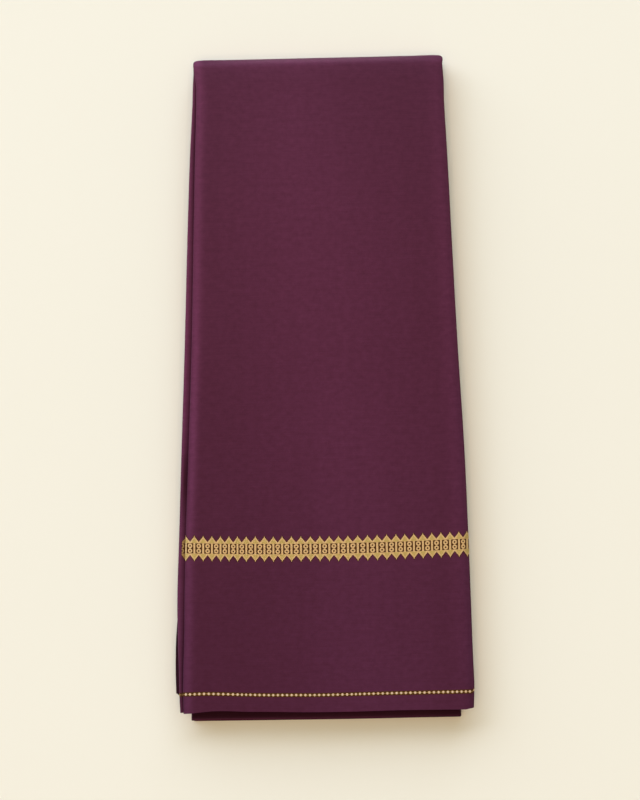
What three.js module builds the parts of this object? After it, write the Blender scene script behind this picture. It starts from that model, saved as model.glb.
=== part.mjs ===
// A saree folded for the shelf and laid flat, in millimetres, +Z up.
//
// The cloth is pleated along its length into a stack of passes, and the stack is then doubled over once.
// The doubled end is at +Y, the border hems are at -Y, and the underside rests on Z = 0.
// Every leaf is one stretch of the stack: it runs from its front hem, over the doubled end, to its back hem.
// The leaves lie in each other like the covers of a book, so one sweep makes them all:
// a section across the pack (x, n) is carried along the doubled path, where n is the distance
// outward from the plane in which the two halves of the pack meet.

import * as THREE from 'three';

// Whole pack
const PACK_THICKNESS = 20;
const HALF_THICKNESS = PACK_THICKNESS / 2;
const DOUBLED_END_Y = 294;
const FOLD_CENTRE_Y = DOUBLED_END_Y - HALF_THICKNESS;
const FOLD_STEPS = 10;

// The doubled end lies a little askew, its right end further out, and its corners swell before they round in
const FOLD_SKEW = 0.0095;
const SKEW_FROM_Y = 60;
const CORNER_SWELL = 1.3;
const CORNER_INSET = 4.4;
const CORNER_SHARPNESS = 6;

// Leaves, counted inward from the outside of the pack
const LEAF_WALL = 1.3;
const LEAF_GAP = 0.3;
const LEAF_PITCH = LEAF_WALL + LEAF_GAP;
const NOSE_RADIUS = LEAF_WALL / 2;
const NOSE_ANGLES = [15, 50, 90];
const TURN_RADIUS = 2.4;
const TURN_ANGLES = [0, 30, 60, 90];
const ACROSS = [0.07, 0.3, 0.5, 0.7, 0.93];

// Hidden passes, one solid with a rounded ridge along its edge for each bundle of folds
const SLIT_HALF_GAP = 0.25;
const RIDGES = 6;
const RIDGE_DEPTH = 0.7;
const RIDGE_SHOULDERS = [0.28, 0.72];
const RIDGE_REACH = [0.3, -0.4, 0.5, 0, -0.5, 0.2];
const INNER_INSET_LEFT = 1.3;
const INNER_INSET_RIGHT = 1.4;
const THIRD_INSET_RIGHT = 0.6;

// Hem lines, which bow a little; the front one rises where the right edge turns down,
// and the third leaf's is cut back at its left corner
const HALF_WIDTH = 120;
const HEM_EASE = 62;
const FRONT_BOW = -0.45;
const BACK_BOW = 1.15;
const TURNED_EDGE_RISE = 1.3;
const THIRD_CORNER = { rise: 16, width: 17 };
const HEMS = {
  outer: { front: -285.5, back: -294 },
  second: { front: -284.3, back: -293.3 },
  third: { front: -284, back: -292.5 },
  inner: { front: -284.2, back: -293 },
};

// Side edges of the leaves on the front stretch, from the doubled end down to the hems.
// Columns: y, left and right edge of the outer leaf, left edge of the second, left edge of the third.
const FRONT_EDGES = [
  { y: 284, outerLeft: -109.2, outerRight: 113.7, secondLeft: -109.4, thirdLeft: -108.3 },
  { y: 278, outerLeft: -107.7, outerRight: 114.3, secondLeft: -110.0, thirdLeft: -108.8 },
  { y: 255, outerLeft: -107.1, outerRight: 114.4, secondLeft: -110.5, thirdLeft: -109.1 },
  { y: 200, outerLeft: -108.6, outerRight: 116.3, secondLeft: -113.2, thirdLeft: -111.5 },
  { y: 119, outerLeft: -110.3, outerRight: 118.6, secondLeft: -115.9, thirdLeft: -114.1 },
  { y: 29, outerLeft: -112.2, outerRight: 121.4, secondLeft: -118.4, thirdLeft: -116.5 },
  { y: -60, outerLeft: -115.2, outerRight: 124.9, secondLeft: -121.4, thirdLeft: -119.6 },
  { y: -129, outerLeft: -117.7, outerRight: 126.4, secondLeft: -123.5, thirdLeft: -121.7 },
  { y: -190, outerLeft: -119.2, outerRight: 127.3, secondLeft: -125.5, thirdLeft: -124.3 },
  { y: -224, outerLeft: -119.6, outerRight: 127.7, secondLeft: -125.7, thirdLeft: -126.8 },
  { y: -248, outerLeft: -120.4, outerRight: 128.1, secondLeft: -125.5, thirdLeft: -127.2 },
  { y: -264, outerLeft: -120.6, outerRight: 128.5, secondLeft: -125.1, thirdLeft: -127.2 },
  { y: -275, outerLeft: -120.5, outerRight: 128.2, secondLeft: -124.3, thirdLeft: -127.0 },
  { y: -286, outerLeft: -120.3, outerRight: 127.6, secondLeft: -123.2, thirdLeft: -126.7 },
];

// The same edges on the back stretch, where the stack has kept closer to its first width.
const BACK_EDGES = [
  { y: 284, outerLeft: -109.8, outerRight: 113.7, secondLeft: -110.4, thirdLeft: -109.2 },
  { y: 250, outerLeft: -108.9, outerRight: 114.2, secondLeft: -111.2, thirdLeft: -110.2 },
  { y: 160, outerLeft: -110.2, outerRight: 115.3, secondLeft: -112.1, thirdLeft: -110.6 },
  { y: 60, outerLeft: -110.5, outerRight: 116.0, secondLeft: -113.2, thirdLeft: -112.1 },
  { y: -50, outerLeft: -111.9, outerRight: 117.2, secondLeft: -113.8, thirdLeft: -112.3 },
  { y: -150, outerLeft: -112.1, outerRight: 117.7, secondLeft: -114.9, thirdLeft: -113.6 },
  { y: -240, outerLeft: -112.9, outerRight: 118.3, secondLeft: -115.2, thirdLeft: -113.9 },
  { y: -294, outerLeft: -112.6, outerRight: 118.0, secondLeft: -114.8, thirdLeft: -113.7 },
];

const EDGE_NAMES = ['outerLeft', 'outerRight', 'secondLeft', 'thirdLeft'];

// Which way the pack's centre lies from a left and from a right edge
const LEFT = 1;
const RIGHT = -1;

// Plum silk-cotton, a little darker where it lies deeper in the stack
const CLOTH_ROUGHNESS = 0.82;
const PLUM = { outer: 0x5b2c40, second: 0x55283b, third: 0x4a2133, inner: 0x4f2538 };

// Stations: where a section stands on the doubled path, and which way its n axis points.

function flatStations(rows, angle) {
  return rows.map((row) => ({ ...row, angle }));
}

function foldStations() {
  const front = FRONT_EDGES[0];
  const back = BACK_EDGES[0];
  const stations = [];
  for (let step = 0; step <= FOLD_STEPS; step += 1) {
    const share = step / FOLD_STEPS;
    const angle = Math.PI * share;
    const inset = CORNER_INSET * Math.sin(angle) ** CORNER_SHARPNESS - CORNER_SWELL * Math.sin(angle);
    const station = { y: FOLD_CENTRE_Y, angle };
    for (const name of EDGE_NAMES) {
      const toCentre = name.endsWith('Left') ? LEFT : RIGHT;
      station[name] = THREE.MathUtils.lerp(front[name], back[name], share) + toCentre * inset;
    }
    stations.push(station);
  }
  return stations;
}

const STATIONS = [
  ...flatStations(FRONT_EDGES.slice(1).reverse(), 0),
  ...foldStations(),
  ...flatStations(BACK_EDGES.slice(1), Math.PI),
];

function place(station, x, n, shift) {
  const skew = FOLD_SKEW * x * THREE.MathUtils.smoothstep(station.y, SKEW_FROM_Y, FOLD_CENTRE_Y);
  return new THREE.Vector3(
    x,
    station.y + shift + skew + n * Math.sin(station.angle),
    HALF_THICKNESS + n * Math.cos(station.angle),
  );
}

// Hems: each leaf's end is drawn to its own hem line, which bows across the width.
// The points take up that shift little by little over the last stretch before the hem.

function hemShift(station, hem, point) {
  const onFront = station.angle === 0;
  const end = onFront ? FRONT_EDGES.at(-1).y : BACK_EDGES.at(-1).y;
  const reached = THREE.MathUtils.inverseLerp(end + HEM_EASE, end, station.y);
  const share = THREE.MathUtils.clamp(reached, 0, 1);
  const bowed = (point.x / HALF_WIDTH) ** 2;
  const line = onFront
    ? hem.front + FRONT_BOW * bowed + (point.frontRise ?? 0)
    : hem.back + BACK_BOW * bowed + (point.backRise ?? 0);
  return share * (line - end);
}

// Sections: pairs of facing points, one on each side of the cloth, that the caps join rung by rung.

// A rounded edge, drawn from its tip inward on both faces of the leaf.
function nose(edge, middle, toCentre) {
  return NOSE_ANGLES.map((degrees) => {
    const angle = THREE.MathUtils.degToRad(degrees);
    const x = edge + toCentre * NOSE_RADIUS * (1 - Math.cos(angle));
    const lift = NOSE_RADIUS * Math.sin(angle);
    return [{ x, n: middle + lift }, { x, n: middle - lift }];
  });
}

// The flat run between two edges.
function run(left, right, outerN) {
  return ACROSS.map((share) => {
    const x = THREE.MathUtils.lerp(left, right, share);
    return [{ x, n: outerN }, { x, n: outerN - LEAF_WALL }];
  });
}

// An edge turned down round the leaf beneath, ending level with that leaf's far face.
function turnedEdge(edge, outerN, depth) {
  const innerRadius = TURN_RADIUS - LEAF_WALL;
  const centre = { x: edge - TURN_RADIUS, n: outerN - TURN_RADIUS };
  const rungs = TURN_ANGLES.map((degrees) => {
    const angle = THREE.MathUtils.degToRad(degrees);
    const arcPoint = (radius) => ({
      x: centre.x + radius * Math.sin(angle),
      n: centre.n + radius * Math.cos(angle),
      frontRise: TURNED_EDGE_RISE * Math.sin(angle),
    });
    return [arcPoint(TURN_RADIUS), arcPoint(innerRadius)];
  });
  const tipN = outerN - depth;
  rungs.push([
    { x: edge, n: tipN, frontRise: TURNED_EDGE_RISE },
    { x: edge - LEAF_WALL, n: tipN, frontRise: TURNED_EDGE_RISE },
  ]);
  return rungs;
}

function plainLeaf(left, right, outerN) {
  const middle = outerN - NOSE_RADIUS;
  return [
    ...nose(left, middle, LEFT),
    ...run(left, right, outerN),
    ...nose(right, middle, RIGHT).reverse(),
  ];
}

function outerSection(station) {
  const outerN = HALF_THICKNESS;
  return [
    ...nose(station.outerLeft, outerN - NOSE_RADIUS, LEFT),
    ...run(station.outerLeft, station.outerRight - TURN_RADIUS, outerN),
    ...turnedEdge(station.outerRight, outerN, LEAF_PITCH + LEAF_WALL),
  ];
}

function secondSection(station) {
  const right = station.outerRight - LEAF_WALL - LEAF_GAP;
  return plainLeaf(station.secondLeft, right, HALF_THICKNESS - LEAF_PITCH);
}

function thirdSection(station) {
  const right = station.outerRight - THIRD_INSET_RIGHT;
  const rungs = plainLeaf(station.thirdLeft, right, HALF_THICKNESS - 2 * LEAF_PITCH);
  for (const point of rungs.flat()) {
    const fromEdge = (point.x - station.thirdLeft) / THIRD_CORNER.width;
    point.frontRise = THIRD_CORNER.rise * Math.max(0, 1 - fromEdge);
  }
  return rungs;
}

// The hidden passes: a rung runs right across the pack, from a ridge on one side to the same on the other.
function innerSection(station) {
  const outerN = HALF_THICKNESS - 3 * LEAF_PITCH;
  const pitch = (outerN - SLIT_HALF_GAP) / RIDGES;
  const left = station.secondLeft + INNER_INSET_LEFT;
  const right = station.outerRight - INNER_INSET_RIGHT;
  const rung = (n, depth, reach) => {
    const atHems = { n, frontRise: depth, backRise: depth };
    return [{ x: left + depth - reach, ...atHems }, { x: right - depth + reach, ...atHems }];
  };
  const rungs = [rung(SLIT_HALF_GAP, RIDGE_DEPTH, 0)];
  for (let ridge = 0; ridge < RIDGES; ridge += 1) {
    const foot = SLIT_HALF_GAP + ridge * pitch;
    for (const share of RIDGE_SHOULDERS) {
      rungs.push(rung(foot + share * pitch, 0, RIDGE_REACH[ridge]));
    }
    rungs.push(rung(foot + pitch, RIDGE_DEPTH, 0));
  }
  return rungs;
}

// Sweep: rings of points joined along the path, closed by a ladder of rungs at each hem.

function sweep(section, hem) {
  const positions = [];
  let ringSize = 0;
  for (const station of STATIONS) {
    const rungs = section(station);
    const ring = [...rungs.map((rung) => rung[0]), ...rungs.map((rung) => rung[1]).reverse()];
    ringSize = ring.length;
    for (const point of ring) {
      place(station, point.x, point.n, hemShift(station, hem, point)).toArray(positions, positions.length);
    }
  }
  const indices = [];
  const quad = (a, b, c, d) => indices.push(a, b, c, a, c, d);
  for (let row = 0; row < STATIONS.length - 1; row += 1) {
    for (let column = 0; column < ringSize; column += 1) {
      const next = (column + 1) % ringSize;
      const here = row * ringSize;
      const ahead = here + ringSize;
      quad(here + column, here + next, ahead + next, ahead + column);
    }
  }
  const lastRing = (STATIONS.length - 1) * ringSize;
  for (let rung = 0; rung < ringSize / 2 - 1; rung += 1) {
    const across = ringSize - 1 - rung;
    quad(rung, across, across - 1, rung + 1);
    quad(lastRing + rung, lastRing + rung + 1, lastRing + across - 1, lastRing + across);
  }
  const geometry = new THREE.BufferGeometry();
  geometry.setAttribute('position', new THREE.Float32BufferAttribute(positions, 3));
  geometry.setIndex(indices);
  geometry.computeVertexNormals();
  return geometry;
}

// Pieces

function cloth(colour) {
  return new THREE.MeshStandardMaterial({ color: colour, roughness: CLOTH_ROUGHNESS, metalness: 0 });
}

function piece(name, section, hem, colour) {
  const mesh = new THREE.Mesh(sweep(section, hem), cloth(colour));
  mesh.name = name;
  return mesh;
}

const saree = new THREE.Group();
saree.name = 'folded_saree';
saree.add(piece('outer_leaf', outerSection, HEMS.outer, PLUM.outer));
saree.add(piece('second_leaf', secondSection, HEMS.second, PLUM.second));
saree.add(piece('third_leaf', thirdSection, HEMS.third, PLUM.third));
saree.add(piece('inner_layers', innerSection, HEMS.inner, PLUM.inner));

export default saree;
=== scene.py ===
"""A saree folded for the shelf: plum silk-cotton with a woven gold border, lying flat on a pale floor.

The cloth is one long strip, laid to and fro along its length in passes to make a stack, and the stack is
doubled over once. So the warp runs across the pack, and the weft along it and round its doubled end.
Sections across the stack are worked out in millimetres as (x, n): x across the pack, and n outward from
the plane where its two halves meet. They are carried along the doubled path and placed in metres.
"""

import math
import random

import bpy
from mathutils import Matrix, Vector


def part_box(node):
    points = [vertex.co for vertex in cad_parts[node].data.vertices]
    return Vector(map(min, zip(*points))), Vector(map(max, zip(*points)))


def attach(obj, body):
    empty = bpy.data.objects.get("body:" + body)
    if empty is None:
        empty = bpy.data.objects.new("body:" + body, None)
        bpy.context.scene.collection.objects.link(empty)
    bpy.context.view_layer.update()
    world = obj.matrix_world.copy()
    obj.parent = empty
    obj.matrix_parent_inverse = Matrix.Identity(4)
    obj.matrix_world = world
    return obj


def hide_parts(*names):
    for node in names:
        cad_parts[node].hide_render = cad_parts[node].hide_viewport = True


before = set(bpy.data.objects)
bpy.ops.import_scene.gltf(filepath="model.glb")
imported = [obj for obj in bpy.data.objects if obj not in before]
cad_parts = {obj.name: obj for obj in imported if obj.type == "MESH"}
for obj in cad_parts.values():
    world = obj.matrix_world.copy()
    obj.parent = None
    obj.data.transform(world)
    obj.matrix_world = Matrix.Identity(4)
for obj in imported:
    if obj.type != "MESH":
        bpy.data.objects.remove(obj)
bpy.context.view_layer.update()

bl_info = {
    "name": "Folded saree",
    "version": (1, 0, 0),
    "blender": (4, 5, 0),
    "location": "View3D > Sidebar > Saree",
    "description": "Builds a folded saree around its solids, with its woven border and a plain stage",
    "category": "Object",
}

MM = 0.001

# The pack, as its solids have it: its back hem and its doubled end lie equally far from the middle
PACK_LOW, PACK_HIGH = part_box("outer_leaf")
HALF = (PACK_HIGH.z - PACK_LOW.z) / 2 / MM
DOUBLED_END_Y = -PACK_LOW.y / MM
FOLD_CENTRE_Y = DOUBLED_END_Y - HALF
END_SQUARENESS = 2.3

# The doubled end lies askew, and its corners swell before they round in, by an inset for each edge below
FOLD_SKEW = 0.0095
SKEW_FROM_Y = 60
CORNER_SWELL = 1.3
CORNER_INSETS = (6.4, 3.9, 6.4, 6.4)
CORNER_SHARPNESS = 5.5

# Side edges of the leaves, close to the solids', from the doubled end down to the hems.
# Columns: y, left and right edge of the outer leaf, left edge of the second, left edge of the third.
FRONT_EDGES = (
    (284, -109.2, 113.7, -109.4, -108.3),
    (278, -107.7, 114.8, -110.0, -108.8),
    (255, -107.1, 114.4, -110.5, -109.1),
    (200, -108.6, 116.3, -113.2, -111.5),
    (119, -110.3, 118.6, -115.9, -114.1),
    (29, -112.2, 121.4, -118.4, -116.5),
    (-60, -115.2, 124.9, -121.4, -119.6),
    (-129, -117.7, 126.4, -123.5, -121.7),
    (-190, -119.2, 127.3, -125.5, -124.3),
    (-224, -119.6, 127.7, -125.0, -126.8),
    (-248, -120.4, 128.1, -124.4, -127.2),
    (-264, -120.6, 128.5, -124.1, -127.2),
    (-275, -120.5, 128.2, -123.8, -127.0),
    (-286, -120.3, 127.6, -123.2, -126.7),
)
BACK_EDGES = (
    (284, -109.8, 113.7, -110.4, -109.2),
    (250, -108.9, 114.2, -111.2, -110.2),
    (160, -110.2, 115.3, -112.1, -110.6),
    (60, -110.5, 116.0, -113.2, -112.1),
    (-50, -111.9, 117.2, -113.8, -112.3),
    (-150, -112.1, 117.7, -114.9, -113.6),
    (-240, -112.9, 118.3, -115.2, -113.9),
    (-294, -112.6, 118.0, -114.8, -113.7),
)
FRONT_END = FRONT_EDGES[-1][0]
BACK_END = BACK_EDGES[-1][0]

# How high the passes lie, outward from the plane between the halves, near their folds and at the middle of
# the pack. The first five have a level each, and the rest follow in even steps to the last.
PASSES = 24
EDGE_LEVELS = (9.84, 8.25, 7.35, 6.6, 5.75)
MIDDLE_LEVELS = (9.62, 8.86, 8.46, 8.06, 7.66)
INNER_LEVELS = (5.09, 7.26)
LAST_LEVEL = 0.36
TUCK_LEVELS = (8.9, 9.24)
LEVEL_EDGE, LEVEL_BLEND = 3, 26

# How the passes end: how short the tucked end stops, how far a piece's last pass returns from the right and
# the gap to the next piece, and how far a pass keeps from the tip of its fold
TUCK_END_INSET = 9
TUCK_SHORTER = (0.7, 0.6)
FOLD_RETURN = 13
RETURN_GAP = 0.4
TIP_MARGIN, WIDE_TIP_MARGIN, THIRD_TIP_MARGIN, INNER_TIP_MARGIN = 0.6, 1.0, 0.9, 0.4

# How far inside the outermost folds the hidden ones lie, and how they wander from it along the pack
INNER_INSET_LEFT, INNER_INSET_RIGHT = 1.35, 1.3
WANDER_SEED = 100
WANDER_MEAN = 0.45
WANDER_SWING = (0.1, 0.4)
WANDER_LENGTH = (150, 420)

# Side edges of the front: how they roll off, and how steeply
LEFT_ROLL, LEFT_ROLL_WIDTH = 0.9, 8.5
RIGHT_ROLL, RIGHT_ROLL_WIDTH = 1.15, 5.2
ROLL_CURVE = 1.5

# How far the cloth keeps inside the pack's height, so that its thickness and its gold stay within it
FRONT_REST = 0.12
BACK_REST = 0.14

# Hems of the passes, and how far up the cloth their unevenness is felt. Toward the middle of the stack the
# front hems draw back, and the back hems step back over the last few passes. The back hems bow in their
# right half alone, and those that end above LEANING_FROM lean from side to side as well.
HEM_EASE = 62
HALF_WIDTH = 120
FRONT_BOW = -0.45
BACK_BOW = 1.15
BACK_LEAN = 0.8
LEANING_FROM = -293.2
FRONT_HEMS = (-285.5, -284.4, -284.7, -284.0, -284.5)
BACK_HEMS = (-294.0, -293.5, -292.9, -292.6, -292.4)
INNER_FRONT_HEMS = (-284.1, -279.5)
INNER_BACK_HEM = -292.6
LAST_BACK_HEMS = {20: -291.2, 21: -290.9, 22: -289.8, 23: -289.4, 24: -288.2}
INNER_HEM_PLAY = 0.5

# How far the turned edge at the right and the third leaf's corner draw back at the front hem, and how wide
TURNED_EDGE_RISE = 1.3
TURNED_EDGE_WIDTH = 7
THIRD_CORNER_RISE = 16
THIRD_CORNER_WIDTH = 17

# How far the front hems rise and fall beside their bow, across the pack, and how far up this is felt.
# Columns: x, rise.
WAVE_EASE = 12
HEM_WAVE = (
    (-127, -0.5), (-116, -0.5), (-104, 0.7), (-94, 1.3), (-84, 1.2), (-66, 0.3), (-50, 0), (-20, -0.8),
    (0, -1.0), (30, -0.8), (60, -0.2), (90, 0), (127, 0),
)

# Soft troughs (+) and ridges (-) of the front. Columns: x, y, turn in degrees, length, width, depth.
CREASES = (
    (-46, 196, 84, 210, 34, 0.22),
    (62, 148, 97, 260, 40, 0.30),
    (18, 60, 88, 190, 26, -0.16),
    (-78, 20, 93, 240, 30, 0.20),
    (84, -46, 86, 170, 24, 0.18),
    (34, -90, 12, 120, 30, 0.16),
    (-30, -208, 96, 110, 28, -0.14),
    (70, -222, 82, 90, 26, 0.17),
    (-6, 250, 4, 180, 22, 0.18),
    (-92, 150, 78, 120, 18, -0.12),
)

# Where the border lies above the hem, and how its lines bow across the pack.
# Columns: height above the hem, bow at the left, bow at the right.
BAND_ABOVE_HEM = 138.4
DOTS_ABOVE_HEM = 13.9
BOW_CENTRE_X = -5
BOW_SPAN = 117
WEAVE_BOW = (
    (0, -0.5, -0.5),
    (13.9, 1.6, 1.1),
    (138.4, 2.2, 2.05),
    (300, 0.8, 0.8),
    (600, 0, 0),
)

# How far the figures of the border lie from an even repeat, across the pack. Columns: x, shift.
BAND_DRIFT = (
    (-127, 0.6), (-119, 0.4), (-111, 0), (-96, -0.5), (-81, -1.4), (-66, -2.3), (-42, -2.4), (-33, -2.8),
    (-19, -2.4), (-2, -1.6), (22, -1.0), (38, 0.3), (54, 1.1), (63, 1.4), (71, 1.1), (102, 0.9),
    (118, 0.7), (125, 0), (132, 0),
)
DOT_DRIFT = (
    (-126, 0.8), (-119, 0.4), (-115, 0), (-95, 0.5), (-76, 1.5), (-64, 0.7), (4, 0.65), (23, 0.9),
    (31, 0.1), (70, 0.15), (105, 0.8), (120, 0.5), (124, 0), (132, 0),
)

# How far the rows rise above their even bow, across the pack. Columns: x, rise.
DOT_RISE = (
    (-132, 0.3), (-120, 0.45), (-112, 0.75), (-104, 1.1), (-96, 1.1), (-80, 0.75), (-64, 0.35),
    (-48, 0.0), (-30, -0.1), (-8, -0.35), (15, -0.25), (35, 0), (65, 0.1), (100, 0), (132, -0.1),
)
STRIP_BAND_RISE = ((-132, -0.2), (132, -0.2))
STRIP_DOT_RISE = ((-132, -0.8), (132, -0.8))


def lerp(start, end, share):
    return start + (end - start) * share


def smooth(share):
    share = min(max(share, 0.0), 1.0)
    return share * share * (3 - 2 * share)


def table_at(rows, value):
    """The second column of a table at a value of its first, held at its ends, or 0 without a table."""
    if not rows:
        return 0.0
    return row_at(rows, min(max(value, rows[0][0]), rows[-1][0]))[0]


def row_at(rows, value):
    """The other columns of a table at a value of its first column, read smoothly from row to row."""
    last = len(rows) - 1
    way = 1 if rows[-1][0] > rows[0][0] else -1
    index = next((i for i in range(last) if way * (rows[i + 1][0] - value) >= 0), last - 1)
    here, ahead = rows[index], rows[index + 1]
    before, after = rows[max(index - 1, 0)], rows[min(index + 2, last)]
    span = ahead[0] - here[0]
    t = (value - here[0]) / span
    columns = []
    for column in range(1, len(here)):
        start_slope = (ahead[column] - before[column]) / (ahead[0] - before[0]) * span
        end_slope = (after[column] - here[column]) / (after[0] - here[0]) * span
        columns.append(
            (2 * t**3 - 3 * t**2 + 1) * here[column] + (t**3 - 2 * t**2 + t) * start_slope
            + (3 * t**2 - 2 * t**3) * ahead[column] + (t**3 - t**2) * end_slope)
    return columns


# ---------------------------------------------------------------- settings


class SareeClothSettings(bpy.types.PropertyGroup):
    """Sizes and colours of the cloth"""

    colour: bpy.props.FloatVectorProperty(
        name="Plum", description="Colour of the field", subtype="COLOR", size=3,
        min=0, max=1, default=(0.0546, 0.0126, 0.0312))
    # Painted shade: the darker plum that the field takes on toward its hems, where its gloss falls off
    hem_shade_colour: bpy.props.FloatVectorProperty(
        name="Hem plum", description="Colour that the field takes on toward its hems", subtype="COLOR",
        size=3, min=0, max=1, default=(0.0341, 0.0104, 0.0288))
    # Painted shade: the hidden passes' edges and the third leaf get a deep plum for the shade between the
    # layers
    deep_shade_colour: bpy.props.FloatVectorProperty(
        name="Deep plum", description="Colour of the hidden passes' edges", subtype="COLOR", size=3,
        min=0, max=1, default=(0.0155, 0.0045, 0.0105))
    gloss_tint: bpy.props.FloatVectorProperty(
        name="Gloss tint", description="Colour of the cloth's gloss", subtype="COLOR", size=3,
        min=0, max=1, default=(0.85, 0.18, 0.28))
    thickness: bpy.props.FloatProperty(
        name="Thickness", description="Thickness of the cloth where it shows", unit="LENGTH",
        min=0.0001, max=0.002, default=0.00028)
    pressed_thickness: bpy.props.FloatProperty(
        name="Pressed thickness", description="Thickness of the cloth inside the stack", unit="LENGTH",
        min=0.0001, max=0.001, default=0.0002)
    thread_pitch: bpy.props.FloatProperty(
        name="Thread pitch", description="Distance from thread to thread", unit="LENGTH",
        min=0.0001, max=0.002, default=0.00042)
    roughness: bpy.props.FloatProperty(
        name="Roughness", description="How matt the cloth is", subtype="FACTOR",
        min=0, max=1, default=0.56)


class SareeBorderSettings(bpy.types.PropertyGroup):
    """Sizes and colours of the woven border"""

    gold: bpy.props.FloatVectorProperty(
        name="Gold", description="Colour of the gold thread", subtype="COLOR", size=3,
        min=0, max=1, default=(0.62, 0.40, 0.17))
    # Also the painted shade in the middle of each of the band's points, whose edges stay lighter
    old_gold: bpy.props.FloatVectorProperty(
        name="Old gold", description="Colour of the gold thread where it is woven closer",
        subtype="COLOR", size=3, min=0, max=1, default=(0.475, 0.335, 0.096))
    # Painted highlight: the lighter gold at the crown of each dot
    highlight_gold: bpy.props.FloatVectorProperty(
        name="Bright gold", description="Colour of the gold thread at the crown of each dot",
        subtype="COLOR", size=3, min=0, max=1, default=(0.64, 0.51, 0.44))
    # Painted shade: the darker gold on the strip and at the first dot, where the border slopes away from the
    # light at a fold
    shaded_gold: bpy.props.FloatVectorProperty(
        name="Worn gold", description="Colour of the gold thread where it is rubbed at a fold",
        subtype="COLOR", size=3, min=0, max=1, default=(0.36, 0.215, 0.070))
    ground: bpy.props.FloatVectorProperty(
        name="Ground", description="Colour of the brown ground of the border", subtype="COLOR", size=3,
        min=0, max=1, default=(0.058, 0.018, 0.003))
    repeat: bpy.props.FloatProperty(
        name="Repeat", description="Width of one repeat of the band", unit="LENGTH",
        min=0.002, max=0.05, default=0.007861)
    dot_spacing: bpy.props.FloatProperty(
        name="Dot spacing", description="Distance from dot to dot", unit="LENGTH",
        min=0.001, max=0.02, default=0.0039215)
    relief: bpy.props.FloatProperty(
        name="Relief", description="How far the gold stands above the cloth", unit="LENGTH",
        min=0.00002, max=0.001, default=0.00012)


class SareeStageSettings(bpy.types.PropertyGroup):
    """Floor, lights and camera"""

    floor_colour: bpy.props.FloatVectorProperty(
        name="Floor", description="Colour of the floor", subtype="COLOR", size=3,
        min=0, max=1, default=(0.88, 0.83, 0.70))
    far_power: bpy.props.FloatProperty(
        name="Far light", description="Power of the wide light beyond the doubled end", unit="POWER",
        min=0, max=20000, default=3876)
    upper_power: bpy.props.FloatProperty(
        name="Upper light", description="Power of the light above, a little toward the hems",
        unit="POWER", min=0, max=20000, default=284.5)
    room_strength: bpy.props.FloatProperty(
        name="Room light", description="Brightness of the pale room all round",
        min=0, max=5, default=1.0)
    lens: bpy.props.FloatProperty(
        name="Lens", description="Focal length of the camera", subtype="DISTANCE_CAMERA",
        min=10, max=300, default=71.6)


# ---------------------------------------------------------------- the doubled path


class Station:
    """A place on the doubled path, with the side edges of the leaves there."""

    def __init__(self, y, angle, reach, edges):
        self.y = y
        self.angle = angle
        self.reach = reach
        self.outer_left, self.outer_right, self.second_left, self.third_left = edges


def front_station(y):
    return Station(y, 0.0, y - FRONT_END, row_at(FRONT_EDGES, y))


def fold_station(share):
    angle = math.pi * share
    rounding, swell = math.sin(angle) ** CORNER_SHARPNESS, CORNER_SWELL * math.sin(angle)
    toward_centre = (1, -1, 1, 1)
    edges = [
        lerp(front, back, share) + (inset * rounding - swell) * sign
        for front, back, inset, sign
        in zip(FRONT_EDGES[0][1:], BACK_EDGES[0][1:], CORNER_INSETS, toward_centre)
    ]
    return Station(FOLD_CENTRE_Y, angle, FOLD_CENTRE_Y - FRONT_END + HALF * angle, edges)


def back_station(y):
    to_fold = FOLD_CENTRE_Y - FRONT_END + HALF * math.pi
    return Station(y, math.pi, to_fold + FOLD_CENTRE_Y - y, row_at(BACK_EDGES, y))


PATH_LENGTH = back_station(BACK_END).reach
FRONT_STEPS, FOLD_STEPS, BACK_STEPS = 46, 18, 40
CLOSER_AT_HEM = 1.35


def spaced(end, steps):
    """Places from a hem up to the doubled end, closer together near the hem."""
    return [lerp(end, FOLD_CENTRE_Y, (i / steps) ** CLOSER_AT_HEM) for i in range(steps)]


def path():
    """Stations from the front hem over the doubled end to the back hem."""
    stations = [front_station(y) for y in spaced(FRONT_END, FRONT_STEPS)]
    stations += [fold_station(i / FOLD_STEPS) for i in range(FOLD_STEPS + 1)]
    stations += [back_station(y) for y in reversed(spaced(BACK_END, BACK_STEPS))]
    return stations


def crease_depth(x, y):
    """How far the front has sunk at a place, from the table of creases."""
    depth = 0.0
    for crease_x, crease_y, turn, length, width, deep in CREASES:
        along = math.radians(turn)
        dx, dy = x - crease_x, y - crease_y
        lengthwise = (dx * math.cos(along) + dy * math.sin(along)) / (length / 2)
        crosswise = (dy * math.cos(along) - dx * math.sin(along)) / (width / 2)
        depth += deep * math.exp(-lengthwise**2 - crosswise**2)
    return depth


def settled(station, x):
    """Share of its height that the stack keeps here: the front has rolled side edges and creases."""
    from_left = (x - station.outer_left) / LEFT_ROLL_WIDTH
    from_right = (station.outer_right - x) / RIGHT_ROLL_WIDTH
    depth = LEFT_ROLL * (1 - smooth(from_left)) ** ROLL_CURVE
    depth += RIGHT_ROLL * (1 - smooth(from_right)) ** ROLL_CURVE
    front, back = max(math.cos(station.angle), 0.0), max(-math.cos(station.angle), 0.0)
    return 1 - (front * (depth + FRONT_REST + crease_depth(x, station.y)) + back * BACK_REST) / HALF


def place(station, x, n, pull=0.0):
    """The point in metres of a section point, moved along the cloth by pull."""
    height = n * settled(station, x)
    skew = FOLD_SKEW * x * smooth((station.y - SKEW_FROM_Y) / (FOLD_CENTRE_Y - SKEW_FROM_Y))
    outward, upward = (
        math.copysign(abs(part) ** (2 / END_SQUARENESS), part)
        for part in (math.sin(station.angle), math.cos(station.angle))
    )
    return Vector((x, station.y + pull + skew + height * outward, HALF + height * upward)) * MM


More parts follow.
